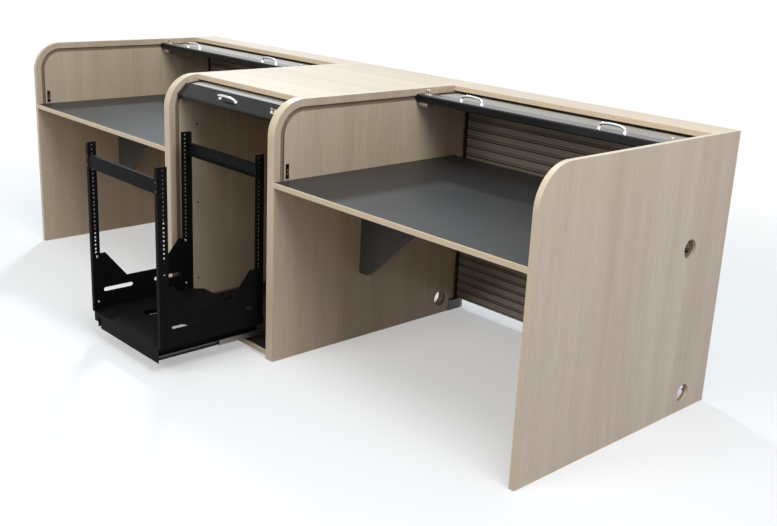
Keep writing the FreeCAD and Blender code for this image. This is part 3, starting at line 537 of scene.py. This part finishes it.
def slatMesh():  # crowned strip one metre long with a hooked edge, and a bead strip beyond a groove
    half, seam, hook = slat["half"], slat["seam"], slat["hook"]
    floor = half - slat["grooveDepth"]
    first, last = seam - hook, slat["pitch"] - seam
    bead = last - slat["bead"]
    flat = bead - slat["groove"]
    rounding = slat["bead"] * slat["beadRoundShare"]
    foot, crest = -half * slat["beadFootShare"], -half * slat["beadTopShare"]
    socket = half * slat["socketShare"]
    tongueLow, tongueHigh = -half * slat["tongueLowShare"], half * slat["tongueHighShare"]
    outline = [  # across the slat: place, height, 1 where painted shade darkens it
        (first, socket, 1), (seam, -socket, 1), (slat["lip"], -half, 0), (flat, -half, 0),
        (flat, -floor, 1), (bead, -floor, 1),
        (bead, foot, 0), (bead + rounding, crest, 0), (last - rounding, crest, 0), (last, foot, 0),
        (last, tongueLow, 1), (last + hook, tongueLow, 1),
        (last + hook, tongueHigh, 1), (last, tongueHigh, 1),
    ]
    for step in range(slat["crownSteps"] + 1):
        share = step / slat["crownSteps"]
        rise = slat["crown"] * (1 - (2 * share - 1) ** 2)
        outline.append((last + (first - last) * share, half - slat["crown"] + rise, 0))
    rings = []
    for x in (-0.5, 0.5):
        rings.append([(x, across, height) for across, height, dark in outline])
    mesh = swept("slat", rings)
    # painted shade, kept in the depth attribute: 1 in the groove floors and at the hooked seams, fading onto
    # the lips
    paintedShadeShares = mesh.attributes.new("depth", "FLOAT", "POINT")
    paintedShadeShares.data.foreach_set("value", [float(dark) for ring in rings for across, height, dark in outline])
    return mesh


slatMaster = master("slatMaster", slatMesh())
joints = {entry["name"]: entry for entry in frame["joints"]}


def spotsOf(steps, length, x, nest):  # slats on steps of the track: (start, end) pairs of Y, Z points
    thin = 1 - slat["nestStep"] * nest
    spots = []
    for start, end in steps:
        angle = math.atan2(end[1] - start[1], end[0] - start[0])
        place = (x, start[0], start[1])
        spots.append((place, (angle, 0, 0), (length, thin, thin)))
    return spots


def trackPoint(along):  # point at a distance along the track from the front end of the level run
    run = rearBend - frontBend
    if along < 0:
        return frontBend + bend * math.sin(along / bend), bendLevel + bend * math.cos(along / bend)
    if along < run:
        return frontBend + along, bendLevel + bend
    turn = (along - run) / bend
    if turn < math.pi / 2:
        return rearBend + bend * math.sin(turn), bendLevel + bend * math.cos(turn)
    return rearBend + bend, bendLevel - (along - run - bend * math.pi / 2)


def trackSteps(first, along, count):  # one straight step per slat, end to end along the track
    points = [first]
    for number in range(count):
        low, high = along, along + slat["pitch"] * 2
        for halving in range(halvings):
            middle = (low + high) / 2
            there = trackPoint(middle)
            near = math.hypot(there[0] - points[-1][0], there[1] - points[-1][1]) < slat["pitch"]
            low, high = (middle, high) if near else (low, middle)
        along = low
        points.append(trackPoint(along))
    return list(zip(points, points[1:]))


def addSlats(name, steps, length, x, curtainNode, nest=0):
    made = copies(name, slatMaster, spotsOf(steps, length, x, nest), "bronze")
    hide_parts(curtainNode)
    return made


def shareDrive(made, body, share):  # with no share, hangs the piece on the desk; else finds the share on an eased curve and bakes the piece's place into its mesh
    if share <= 0:
        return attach(made, "desk")
    low, high = 0.0, 1.0
    for halving in range(halvings):
        middle = (low + high) / 2
        low, high = (middle, high) if middle * middle * (3 - 2 * middle) < share else (low, middle)
    reach = slat["swing"]
    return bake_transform(made, "desk", body, start=(-low * reach, 0, 0), end=((1 - low) * reach, 0, 0))


def liftDrive(made, joint, rise):  # hangs the pieces on the desk and gives them a mesh of their own
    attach(made, "desk")
    reach = slat["lift"]
    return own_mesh(made, joint, axis=(0, 0, 1), anchor=(0, 0, reach), keep=1 - rise / reach)


bar = {"depth": 60 * mm, "half": 15 * mm, "neck": 5.6 * mm, "beadInset": 2.5 * mm, "slatGap": 4 * mm,
       "wallGap": 3 * mm, "glideSpread": 40 * mm, "restAngle": math.radians(44)}
for side in ("left", "right"):
    low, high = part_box(side + "_lead_bar")
    length, x = high.x - low.x - bar["slatGap"], (low.x + high.x) / 2
    firstJoint = high.y - bar["beadInset"]
    curtainNode = side + "_curtain"
    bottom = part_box(curtainNode)[0].z
    steps = trackSteps((firstJoint, bendLevel + bend), firstJoint - frontBend, slat["sideCount"])
    steps = [step for step in steps if step[1][1] > bottom]
    travel = joints[side + "_curtain_slide"]["range_m"][1]
    body = side + "_bar"
    level = [step for step in steps if step[1][0] < rearBend]
    bent = [step for step in steps if step[1][0] >= rearBend and step[1][1] > bendLevel]
    hung = [step for step in steps if step[1][1] <= bendLevel]
    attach(addSlats(side + "LevelSlats", level, length, x, curtainNode), body)
    parked = level[-1:]
    moving = int(travel / slat["pitch"]) + 1
    for number in range(1, moving + 1):
        made = addSlats(f"{side}FollowSlat{number:02d}", parked, length, x, curtainNode, number)
        shareDrive(made, body, 1 - number * slat["pitch"] / travel)
    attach(addSlats(side + "BendSlats", bent, length, x, curtainNode), "desk")
    highest = hung[0][0][1]
    whole = [step for step in hung if step[0][1] + travel <= highest]
    liftDrive(addSlats(side + "TailSlats", whole, length, x, curtainNode), side + "_curtain_slide", travel)
    for number, step in enumerate(hung[: len(hung) - len(whole)]):
        made = addSlats(f"{side}HungSlat{number:02d}", [step], length, x, curtainNode, number + 1)
        liftDrive(made, side + "_curtain_slide", highest - step[0][1])
    print("curtain", side, len(level), moving, len(bent), len(hung))

low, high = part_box("centre_lead_bar")
length, x = high.x - low.x - bar["slatGap"], (low.x + high.x) / 2
restAngle = bar["restAngle"]  # the centre bar lies tilted on the front bend
chord = math.sqrt(bend * bend - bar["glideSpread"] * bar["glideSpread"] / 4)
beadAngle = math.atan2(bar["depth"] / 2 + bar["neck"], chord)
beadReach = math.hypot(bar["depth"] / 2 + bar["neck"], chord)
beadTurn = beadAngle - restAngle
firstJoint = (frontBend + beadReach * math.sin(beadTurn), bendLevel + beadReach * math.cos(beadTurn))
steps = trackSteps(firstJoint, bend * beadTurn, slat["centreCount"])
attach(addSlats("centreFirstSlat", steps[:1], length, x, "centre_curtain"), "centre_bar")
for number, share in enumerate(slat["centreFollowShares"]):
    made = addSlats(f"centreFollowSlat{number}", steps[1:2], length, x, "centre_curtain", number + 1)
    shareDrive(made, "centre_bar", share)
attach(addSlats("centreTopSlats", steps[2:], length, x, "centre_curtain"), "desk")
print("curtain centre", len(steps))

tilt = Matrix.Rotation(restAngle, 3, "X")
barMiddle = Vector((0, frontBend - chord * math.sin(restAngle), bendLevel + chord * math.cos(restAngle)))


def onCentreBar(setback):  # place on the tilted bar's top, at a distance from its front edge
    return barMiddle + tilt @ Vector((0, setback - bar["depth"] / 2, bar["half"]))


pull = {"length": 116 * mm, "height": 26 * mm, "rod": 4.4 * mm, "foot": 8 * mm, "footHeight": 5 * mm,
        "bow": 0.36, "endShare": 0.86, "swellShare": 0.22, "flare": 1.6, "segments": 40, "sides": 14,
        "flattest": 1e-3,  # keeps the slope finite at the feet
        "inset": 30 * mm, "spread": 305 * mm, "sharpest": 60.0}


def pullMesh():  # bow between two flared feet, standing on Z = 0
    half = pull["length"] / 2 - pull["foot"]
    rise = pull["height"] - pull["rod"]
    side = Vector((0, 1, 0))
    rings = []
    for step in range(pull["segments"] + 1):
        angle = math.pi * step / pull["segments"]
        middle = Vector((-half * math.cos(angle), 0, rise * math.sin(angle) ** pull["bow"]))
        sine = max(math.sin(angle), pull["flattest"])
        climb = rise * pull["bow"] * math.cos(angle) * sine ** (pull["bow"] - 1)
        outward = side.cross(Vector((half * math.sin(angle), 0, climb)).normalized())
        near = 1 - min(middle.z / (pull["footHeight"] * 2), 1)
        thick = pull["rod"] * (pull["endShare"] + pull["swellShare"] * math.sin(angle))
        thick += (pull["foot"] - pull["rod"]) * near ** pull["flare"]
        rings.append([middle + side * thick * across + outward * thick * up
                      for across, up in circle(pull["sides"])])
    return swept("pull", rings)


pullMaster = master("pullMaster", pullMesh())
for side in ("left", "right"):
    low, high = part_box(side + "_lead_bar")
    middle = (low.x + high.x) / 2
    spots = []
    for shift in (-pull["spread"], pull["spread"]):
        spots.append(((middle + shift, low.y + pull["inset"], high.z), unturned, ones))
    made = copies(side + "BowPulls", pullMaster, spots, "chrome", pull["sharpest"])
    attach(made, side + "_bar")
    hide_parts(side + "_bar_pulls")
spots = [(onCentreBar(pull["inset"]), (restAngle, 0, 0), ones)]
made = copies("centreBowPull", pullMaster, spots, "chrome", pull["sharpest"])
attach(made, "centre_bar")
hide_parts("centre_bar_pull")
print("pulls bowed")

knob = {
    "radius": 9 * mm, "collar": 3 * mm, "lift": 0.1 * mm, "sides": 32,
    "collarShares": ((1.0, 0.7), (0.9, 1.0), (0.3, 1.0)),  # of the radius and the collar's height
    "grip": 16 * mm, "thick": 5 * mm, "height": 18 * mm, "gripSides": 8, "gripSinkShare": 0.9,
    "gripShares": ((0.94, 0.9, 0.45), (1.0, 0.95, 0.85), (0.95, 0.8, 0.96), (0.8, 0.45, 1.0)),
    "inset": 36 * mm, "setback": 30 * mm, "sharpest": 40.0,
}
plate = {"length": 38 * mm, "width": 20 * mm, "sheet": 1.6 * mm, "bevel": 0.6 * mm, "sides": 12}


def knobMesh():  # thumb turn on a collar, standing on Z = 0
    outline = [(knob["radius"], knob["lift"])]
    for wide, high in knob["collarShares"]:
        outline.append((knob["radius"] * wide, knob["collar"] * high))
    foot = turned("collar", outline, knob["sides"])
    rings = [stadium(knob["grip"], knob["thick"], knob["collar"] * knob["gripSinkShare"], knob["gripSides"])]
    for long, wide, high in knob["gripShares"]:
        size = knob["grip"] * long, knob["thick"] * wide, knob["height"] * high
        rings.append(stadium(*size, knob["gripSides"]))
    return joined("knob", [foot, swept("grip", rings)])


def plateMesh():
    rise, bevel = plate["sheet"], plate["bevel"]
    rings = [stadium(plate["length"] - cut, plate["width"] - cut, level, plate["sides"])
             for cut, level in ((0, 0), (0, rise - bevel), (2 * bevel, rise))]
    return swept("lockPlate", rings)


knobMaster = master("knobMaster", knobMesh())
plateMaster = master("plateMaster", plateMesh())
for side in ("left", "right", "centre"):
    low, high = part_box(side + "_lead_bar")
    inward = knob["inset"] - bar["wallGap"]
    outer = {"left": low.x + inward, "right": high.x - inward}
    plateSpots = []
    for end in ("left", "right"):
        label = f"{side}_bar_{end}_knob"
        if label not in cadNodes:
            continue
        place, turn = Vector((outer[end], low.y + knob["setback"], high.z)), unturned
        if side == "centre":
            place, turn = onCentreBar(knob["setback"]), (restAngle, 0, 0)
            place.x = outer[end]
        made = copies(label + "Turn", knobMaster, [(place, turn, ones)], "brass", knob["sharpest"])
        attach(made, label + "_body")
        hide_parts(label)
        plateSpots.append((place, turn, ones))
    made = copies(side + "LockPlates", plateMaster, plateSpots, "chrome", knob["sharpest"])
    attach(made, side + "_bar")
print("knobs turned")

screw = {
    "radius": 5 * mm, "height": 2.6 * mm, "sides": 24, "recess": 1.1 * mm,
    "headShares": ((1.0, 0.0), (1.0, 0.45), (0.86, 0.8), (0.6, 1.0), (0.42, 1.0)),  # of radius and height
    "recessShares": (0.34, 0.05),
}


def screwMesh():  # pan head with a round driver recess
    outline = [(screw["radius"] * wide, screw["height"] * high) for wide, high in screw["headShares"]]
    for wide in screw["recessShares"]:
        outline.append((screw["radius"] * wide, screw["height"] - screw["recess"]))
    return turned("screw", outline, screw["sides"])


screwMaster = master("screwMaster", screwMesh())
spots = []
for head in gathered("rack_screws", 3 * screw["radius"]):
    side = 1 if head[0].x > 0 else -1
    place = sum(head, Vector()) / len(head)
    place.x = side * max(abs(corner.x) for corner in head)
    spots.append((place, (0, -side * math.pi / 2, 0), ones))
made = copies("rackScrewHeads", screwMaster, spots, "zinc")
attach(made, "rack")
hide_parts("rack_screws")
print("screws placed", len(spots))

barScrew = {"inset": 8 * mm, "edge": 9 * mm, "size": (0.62, 0.62, 0.62)}
spots = []
for end, facing in (("front", -1), ("rear", 1)):
    low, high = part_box(f"rack_{end}_crossbar")
    for side in ("left", "right"):
        postLow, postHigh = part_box(f"rack_{end}_{side}_post")
        x = postLow.x + barScrew["inset"] if side == "left" else postHigh.x - barScrew["inset"]
        y = postLow.y if facing < 0 else postHigh.y
        for z in (low.z + barScrew["edge"], high.z - barScrew["edge"]):
            spots.append(((x, y, z), (-facing * math.pi / 2, 0, 0), barScrew["size"]))
made = copies("crossbarScrewHeads", screwMaster, spots, "slideSteel")
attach(made, "rack")
print("crossbar screws placed", len(spots))

# dark plates on the walls at the strike slots: painted shade standing in for the slots' hollows
slotShade = {"length": 17 * mm, "width": 7.4 * mm, "rise": 0.4 * mm, "level": 24 * mm, "sides": 6,
           "plateReach": 100 * mm}
rings = [stadium(slotShade["length"], slotShade["width"], level, slotShade["sides"])
         for level in (0, slotShade["rise"])]
mortiseMaster = master("mortiseMaster", swept("slotShade", rings))
spots = []
for strike in gathered("strike_plates", slotShade["plateReach"]):
    low = Vector([min(corner[axis] for corner in strike) for axis in range(3)])
    high = Vector([max(corner[axis] for corner in strike) for axis in range(3)])
    onLeft = any(abs(low.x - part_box(name)[1].x) < mm for name in ("left_end_panel", "right_rack_wall_outer"))
    place = (low.x if onLeft else high.x, (low.y + high.y) / 2, low.z + slotShade["level"])
    spots.append((place, (0, math.pi / 2 if onLeft else -math.pi / 2, 0), ones))
made = copies("strikeMortises", mortiseMaster, spots, "nylon")
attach(made, "desk")
print("strike mortises placed", len(spots))

cap = {"radius": 4 * mm, "height": 0.5 * mm, "sides": 20, "setback": 122.7 * mm,
       "levels": (747 * mm, 430.5 * mm, 111.5 * mm),
       "shares": ((1.0, 0.0), (0.9, 1.0), (0.6, 1.0), (0.1, 0.3))}  # of radius and height
outline = [(cap["radius"] * wide, cap["height"] * high) for wide, high in cap["shares"]]
capMaster = master("capMaster", turned("cap", outline, cap["sides"]))
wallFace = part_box("left_rack_wall_inner")[1].x
spots = [((wallFace, front + cap["setback"], level), (0, math.pi / 2, 0), ones) for level in cap["levels"]]
made = copies("rackWallCaps", capMaster, spots, "nylon")
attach(made, "desk")
print("wall caps placed", len(spots))

floor = {"reach": 30.0, "drop": 0.5 * mm, "shown": (0.94, 0.94, 0.94), "cloudShare": 0.97,
         "cloudScale": 0.8, "cloudDetail": 2.0, "cloudTone": 0.05, "bounce": (0.22, 0.17, 0.13),
         "roughness": 0.85, "solid": 2.0, "gone": 3.6, "cover": 0.62}  # whole to solid, none from gone


def shownRays(tree):  # rays that show the white background: straight, mirrored or through glass
    rays = node(tree, "ShaderNodeLightPath", {}, {}, "Is Camera Ray")
    return (rays + rays.out("Is Glossy Ray") + rays.out("Is Transmission Ray")).clamped()


def stagePaint(name):  # white floor that thins out into the white round it, and throws little light back
    paint, tree = newPaint(name)
    place = objectPlace(tree)
    cloud = noise(tree, place, floor["cloudScale"], floor["cloudDetail"])
    clouded = tuple(part * floor["cloudShare"] for part in floor["shown"])
    white = mixed(tree, cloud * floor["cloudTone"], floor["shown"], clouded)
    tone = mixed(tree, shownRays(tree), floor["bounce"], white)
    away = node(tree, "ShaderNodeVectorMath", {"operation": "LENGTH"}, {0: place}, "Value")
    thin = ((floor["gone"] - away) / (floor["gone"] - floor["solid"])).clamped()
    finishPaint(tree, {"Base Color": tone, "Roughness": floor["roughness"], "Alpha": thin * floor["cover"]})
    return paint


floorMesh = bpy.data.meshes.new("floor")
reach = floor["reach"]
corners = [(-reach, -reach, 0), (reach, -reach, 0), (reach, reach, 0), (-reach, reach, 0)]
floorMesh.from_pydata(corners, [], [(0, 1, 2, 3)])
floorMesh.materials.append(stagePaint("floorPaint"))
floorPiece = newPiece("floor", floorMesh)
floorPiece.location.z = -floor["drop"]
floorPiece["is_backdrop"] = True

studio = {"light": (0.97, 0.98, 1.0, 1), "lightStrength": 0.2, "shown": (1, 1, 1, 1), "shownStrength": 1.0}
world = bpy.data.worlds.new("studio")
scene.world = world
world.use_nodes = True
sky = world.node_tree
sky.nodes.clear()
light = node(sky, "ShaderNodeBackground", {}, {"Color": studio["light"], "Strength": studio["lightStrength"]})
shown = node(sky, "ShaderNodeBackground", {}, {"Color": studio["shown"], "Strength": studio["shownStrength"]})
chosen = node(sky, "ShaderNodeMixShader", {}, {0: shownRays(sky), 1: light, 2: shown})
node(sky, "ShaderNodeOutputWorld", {}, {"Surface": chosen})

deskMiddle = (0, 0, 0.6)
lamps = {
    "overhead": {"place": (0.6, -0.8, 5.0), "target": (0.3, -0.4, 0), "size": 8.0, "power": 98,
                 "colour": (0.64, 0.85, 1.0)},
    "rearKey": {"place": (-4.2, 2.5, 5.0), "target": deskMiddle, "size": 0.7, "power": 170,
                "colour": (0.76, 0.91, 1.0)},
    "highFill": {"place": (3.2, -1.2, 4.6), "target": deskMiddle, "size": 2.5, "power": 135,
                 "colour": (0.98, 0.98, 0.97)},
    "sideFill": {"place": (6.5, -0.6, 1.1), "target": deskMiddle, "size": 2.5, "power": 80,
                 "colour": (0.55, 0.66, 1.0)},
    "frontFill": {"place": (-0.5, -6.4, 4.2), "target": deskMiddle, "size": 3.0, "power": 210,
                  "colour": (1.0, 0.98, 0.94)},
}
for name, lamp in lamps.items():
    data = bpy.data.lights.new(name, "AREA")
    data.shape = "SQUARE"
    data.size = lamp["size"]
    data.energy = lamp["power"]
    data.color = lamp["colour"]
    made = newPiece(name, data)
    made.location = lamp["place"]
    aim = Vector(lamp["target"]) - Vector(lamp["place"])
    made.rotation_euler = aim.to_track_quat("-Z", "Y").to_euler()
    made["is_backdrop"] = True
print("lamps set", len(lamps))

view = {
    "place": (3.1181, -2.3638, 1.49059), "yaw": 46.719, "pitch": -17.091, "roll": 2.627,
    "focalPixels": 1031.77, "axisPixels": (386.717, 251.019), "imagePixels": (777, 526), "sensor": 36.0,
}
camera = bpy.data.cameras.new("photoCamera")
cameraPiece = newPiece("photoCamera", camera)
scene.camera = cameraPiece
yaw, pitch, roll = (math.radians(view[part]) for part in ("yaw", "pitch", "roll"))
ahead = Vector((-math.sin(yaw) * math.cos(pitch), math.cos(yaw) * math.cos(pitch), math.sin(pitch)))
right = ahead.cross(Vector((0, 0, 1))).normalized()
over = right.cross(ahead)
across = right * math.cos(roll) + over * math.sin(roll)
over = over * math.cos(roll) - right * math.sin(roll)
cameraPiece.matrix_world = Matrix((
    (across.x, over.x, -ahead.x, view["place"][0]),
    (across.y, over.y, -ahead.y, view["place"][1]),
    (across.z, over.z, -ahead.z, view["place"][2]),
    (0, 0, 0, 1),
))
wide, tall = view["imagePixels"]
camera.sensor_width = view["sensor"]
camera.lens = view["sensor"] * view["focalPixels"] / wide
camera.shift_x = (wide / 2 - view["axisPixels"][0]) / wide
camera.shift_y = (view["axisPixels"][1] - tall / 2) / wide
camera.dof.use_dof = False
scene.view_settings.view_transform = "Standard"
print("camera placed")

low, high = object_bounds()
